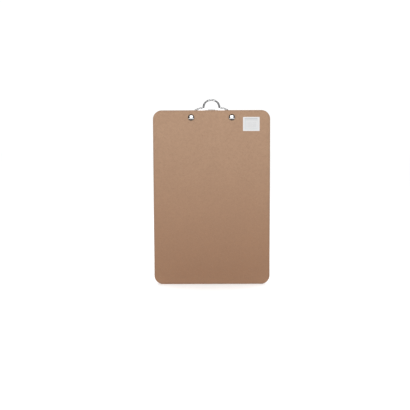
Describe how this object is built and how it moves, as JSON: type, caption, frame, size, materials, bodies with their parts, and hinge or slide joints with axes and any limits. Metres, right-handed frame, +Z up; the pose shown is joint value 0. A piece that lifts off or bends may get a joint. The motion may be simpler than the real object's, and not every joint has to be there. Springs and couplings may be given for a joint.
{
  "type": "clipboard",
  "caption": "Upright hardboard clipboard with a sprung butterfly clip whose lever ends in a half-round hanging ring.",
  "frame": {"origin": "centre of the board's flat bottom edge, halfway through its thickness", "axes": "+Z up the board to the clip, +Y out of the writing face, +X to the right as the back is looked at"},
  "size_m": [0.23, 0.0389, 0.368],
  "materials": {
    "hardboard": "smooth pressed fibre, matt",
    "clip_plating": "bright nickel-chrome plating",
    "rivet_plating": "bright plating",
    "rod_steel": "drawn steel",
    "spring_steel": "plated spring wire",
    "sticker_paper": "coated label paper"
  },
  "bodies": {
    "board_body": {"board": "hardboard", "clip_base_plate": "clip_plating", "pivot_rod": "rod_steel", "torsion_spring": "spring_steel", "rivet_left": "rivet_plating", "rivet_right": "rivet_plating", "barcode_label": "sticker_paper"},
    "jaw_body": {"clip_jaw": "clip_plating"}
  },
  "joints": [
    {"name": "jaw_hinge", "type": "hinge", "parent": "board_body", "child": "jaw_body", "pos_m": [0, 0.0105, 0.331], "axis": [1, 0, 0], "range_deg": [0, 35], "stiffness_Nm_per_rad": 0.57, "springref_deg": -60.16, "deforming": ["torsion_spring"]}
  ]
}
